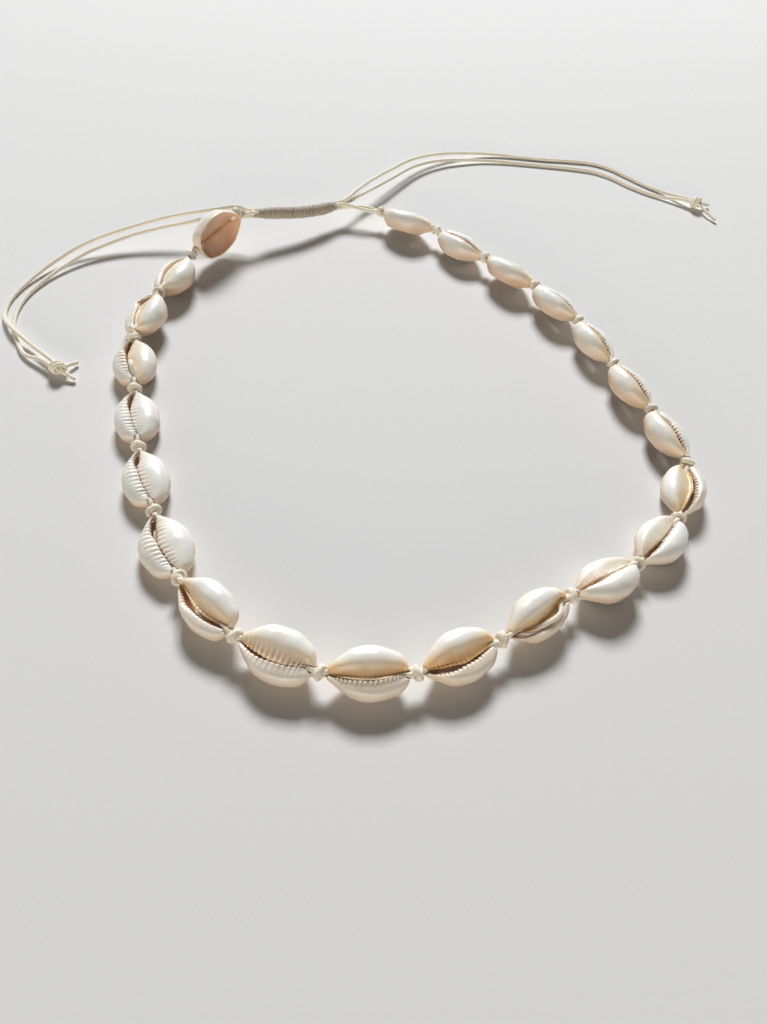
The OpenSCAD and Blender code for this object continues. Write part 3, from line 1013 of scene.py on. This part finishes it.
def dome_colour(recipe, place):
    """White above and ivory lower down, with a painted cool highlight where it faces up and painted brown
    shade where it faces sideways.
    """
    high = recipe.worked("DIVIDE", recipe.split(place)["Z"], DOME_HEIGHT)
    facing = recipe.split(recipe.source("ShaderNodeNewGeometry", "Normal"))["Z"]
    painted_highlight_mask = recipe.graded(facing, (0.35, 0.0), (0.95, 1.0))
    painted_shade_mask = recipe.graded(facing, (0.0, 1.0), (0.55, 0.0))
    colour = recipe.mixed(recipe.graded(high, (0.25, 0.0), (0.8, 1.0)), IVORY, WHITE)
    # Painted cool highlight, strongest on faces that turn straight up
    colour = recipe.mixed(recipe.times(painted_highlight_mask, recipe.mark("painted_highlight")), colour, PAINTED_HIGHLIGHT_WHITE)
    # Painted brown shade on faces that turn sideways
    return recipe.mixed(recipe.times(painted_shade_mask, recipe.mark("painted_shade")), colour, PAINTED_SHADE_BROWN)


def stained(recipe, colour, place, near):
    """Tan in streaks beside the slit, most on the inner side, gold at the lip, and a brown in the slit that
    is partly stain and partly painted shade.
    """
    tan = recipe.mark("tan")
    inner_side = recipe.graded(recipe.mark("inner_side"), (0.0, 0.25), (1.0, 1.0))
    streaks = recipe.speckle(recipe.stretched(place, (2.6, 0.22, 0.3)), 1.0)
    streaky = recipe.graded(streaks, (0.36, 0.82), (0.62, 1.0))
    beside = recipe.graded(near, (0.05, 0.0), (0.65, 1.0))
    lip = recipe.graded(near, (0.72, 0.0), (0.94, 1.0))
    slit_stain_and_shade = recipe.graded(near, (0.88, 0.0), (0.98, 0.85))
    colour = recipe.mixed(recipe.times(beside, tan, streaky, inner_side), colour, TAN)
    colour = recipe.mixed(recipe.times(lip, inner_side, recipe.times(tan, 0.7)), colour, LIP_GOLD)
    # Brown in the slit: partly stain, partly painted shade
    return recipe.mixed(slit_stain_and_shade, colour, SLIT_STAIN_AND_SHADE)


def toothed(recipe, colour, near):
    """Brown between the teeth, gold there by the lip of a tan shell, white crowns on the outer lip."""
    tooth = recipe.mark("tooth")
    groove = recipe.graded(recipe.times(tooth, -1), (0.0, 0.0), (1.0, 1.0))
    by_lip = recipe.graded(near, (0.60, 0.0), (0.85, 0.85))
    crown = recipe.graded(tooth, (0.1, 0.0), (0.7, 0.85))
    outer_side = recipe.worked("SUBTRACT", 1.0, recipe.mark("inner_side"))
    colour = recipe.mixed(recipe.times(groove, 0.3), colour, GROOVE_BROWN)
    colour = recipe.mixed(recipe.times(groove, by_lip, recipe.mark("tan")), colour, GROOVE_GOLD)
    return recipe.mixed(recipe.times(crown, outer_side), colour, TOOTH_WHITE)


def polished_shell():
    """Stained, toothed and painted with highlight and shade over the dome, cloudy inside, matt in the slit,
    with fine growth lines.
    """
    material, recipe, shader = new_finish("polished_shell")
    place = recipe.mark("place", "Vector")
    frame_place = recipe.source("ShaderNodeTexCoord", "Object")
    near = recipe.mark("nearness")
    hollow = recipe.mark("hollow")
    clouds = recipe.speckle(frame_place, 260, 4)

    colour = dome_colour(recipe, place)
    colour = stained(recipe, colour, place, near)
    colour = toothed(recipe, colour, near)
    colour = recipe.mixed(recipe.graded(clouds, (0.4, 0.0), (0.7, 0.12)), colour, CLOUD)
    inside = recipe.mixed(recipe.graded(clouds, (0.35, 0.0), (0.65, 1.0)), HOLLOW_DARK, HOLLOW_PALE)
    recipe.feed(shader.inputs["Base Color"], recipe.mixed(hollow, colour, inside))

    worn = recipe.graded(recipe.speckle(frame_place, 900), (0.35, 0.28), (0.7, 0.40))
    in_slit = recipe.graded(near, (0.80, 0.0), (0.94, 1.0))
    rough = recipe.mixed(in_slit, worn, (0.6, 0.6, 0.6))
    recipe.feed(shader.inputs["Roughness"], recipe.mixed(hollow, rough, (0.5, 0.5, 0.5)))
    recipe.feed(shader.inputs["Coat Weight"], recipe.graded(near, (0.80, 0.30), (0.92, 0.0)))
    shader.inputs["Coat Roughness"].default_value = 0.34
    shader.inputs["Subsurface Weight"].default_value = 0.45
    shader.inputs["Subsurface Radius"].default_value = (1.0, 0.7, 0.5)
    shader.inputs["Subsurface Scale"].default_value = 1.8 * MM
    growth = recipe.speckle(recipe.stretched(place, (3.2, 0.5, 0.6)), 1.0, 4)
    recipe.feed(shader.inputs["Normal"], recipe.embossed(growth, 0.12, 0.2 * MM))
    return material


def waxed_cotton(name, ecru, painted_seam_shade):
    """Three plies of cotton: painted shade in the seams between them, with pale fibres and dull patches."""
    material, recipe, shader = new_finish(name)
    yarn_map = recipe.nodes.new("ShaderNodeUVMap")
    yarn_map.uv_map = "yarn"
    yarn = yarn_map.outputs[0]
    ply = recipe.worked("FRACT", recipe.split(yarn)["X"])
    seam_shade_mask = recipe.worked("ABSOLUTE", recipe.worked("SUBTRACT", ply, 0.5))
    fibre = recipe.speckle(recipe.stretched(yarn, (9.0, 1.1, 1)), 1.0, 4, 0.7)
    patches = recipe.speckle(recipe.source("ShaderNodeTexCoord", "Object"), 180)
    pale = tuple(min(c * 1.15, 1) for c in ecru)
    dull = tuple(c * 0.75 for c in ecru)
    # Painted shade in the seams between the plies
    colour = recipe.mixed(recipe.graded(seam_shade_mask, (0.3, 0.0), (0.5, 0.55)), ecru, painted_seam_shade)
    colour = recipe.mixed(recipe.graded(fibre, (0.35, 0.0), (0.75, 0.5)), colour, pale)
    colour = recipe.mixed(recipe.graded(patches, (0.4, 0.0), (0.7, 0.3)), colour, dull)
    recipe.feed(shader.inputs["Base Color"], colour)
    shader.inputs["Roughness"].default_value = 0.62
    shader.inputs["Sheen Weight"].default_value = 0.25
    shader.inputs["Sheen Roughness"].default_value = 0.5
    recipe.feed(shader.inputs["Normal"], recipe.embossed(fibre, 0.6, 0.1 * MM))
    return material


shell_finish = polished_shell()
# The second colour of each cotton is the painted shade of its seams
cord_finish = waxed_cotton("waxed_cotton", (0.94, 0.87, 0.73), (0.80, 0.71, 0.56))
# A darker cotton for the winding of the sliding knot
dark_cotton_finish = waxed_cotton("dark_cotton", (0.46, 0.39, 0.30), (0.20, 0.16, 0.12))


def dress(piece, finish, node):
    """Gives a piece its finish, hangs it under the root body and hides the solid that it stands for."""
    piece.data.materials.clear()
    piece.data.materials.append(finish)
    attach(piece, "root")
    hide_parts(node)


for number, piece in shells.items():
    dress(piece, shell_finish, shell_name(number))
for piece in string_strands:
    dress(piece, cord_finish, "string")
dress(winding, dark_cotton_finish, "sliding_knot")
dress(slider_core, cord_finish, "sliding_knot")
dress(left_knot, cord_finish, "left_end_knot")
dress(right_knot, cord_finish, "right_end_knot")
for node, (tail, line) in tails.items():
    dress(tail, cord_finish, node)


# The table top and the light: a window behind the necklace, and a pale wall far in front of it

def lay_floor():
    clear_choice()
    bpy.ops.mesh.primitive_plane_add(size=6, location=(0, 0, -0.05 * MM))
    floor = bpy.context.object
    floor.name = "table_top"
    material, recipe, shader = new_finish("pale_table_top")
    recipe.feed(shader.inputs["Base Color"], (0.78, 0.785, 0.785))
    shader.inputs["Roughness"].default_value = 0.9
    floor.data.materials.append(material)


def put_light(name, place, aim, size, power, tint):
    clear_choice()
    bpy.ops.object.light_add(type="AREA", location=place)
    light = bpy.context.object
    light.name = name
    light.rotation_mode = "QUATERNION"
    light.rotation_quaternion = (Vector(aim) - Vector(place)).to_track_quat("-Z", "Y")
    light.data.shape = "RECTANGLE"
    light.data.size, light.data.size_y = size
    light.data.energy = power
    light.data.color = tint


def light_room():
    """The room's own light, pale at the horizon and dim above, so that the shadows stay deep."""
    room = bpy.data.worlds.new("room")
    bpy.context.scene.world = room
    room.use_nodes = True
    recipe = Recipe(room.node_tree)
    background = room.node_tree.nodes["Background"]
    recipe.feed(background.inputs["Color"], (1.0, 0.92, 0.84))
    height = recipe.split(recipe.source("ShaderNodeTexCoord", "Generated"))["Z"]
    recipe.feed(background.inputs["Strength"], recipe.graded(height, (0.08, 0.50), (0.42, 0.05)))


bpy.context.scene.view_settings.view_transform = "Standard"
lay_floor()
put_light(
    "window", place=(-0.42, 2.55, 2.03), aim=(0, 0.02, 0), size=(1.0, 0.7), power=132, tint=(0.985, 0.99, 1.0)
)
put_light(
    "pale_wall", place=(-0.7, -8.0, 1.5), aim=(0, 0, 0), size=(8.0, 2.2), power=285, tint=(1.0, 0.91, 0.79)
)
light_room()
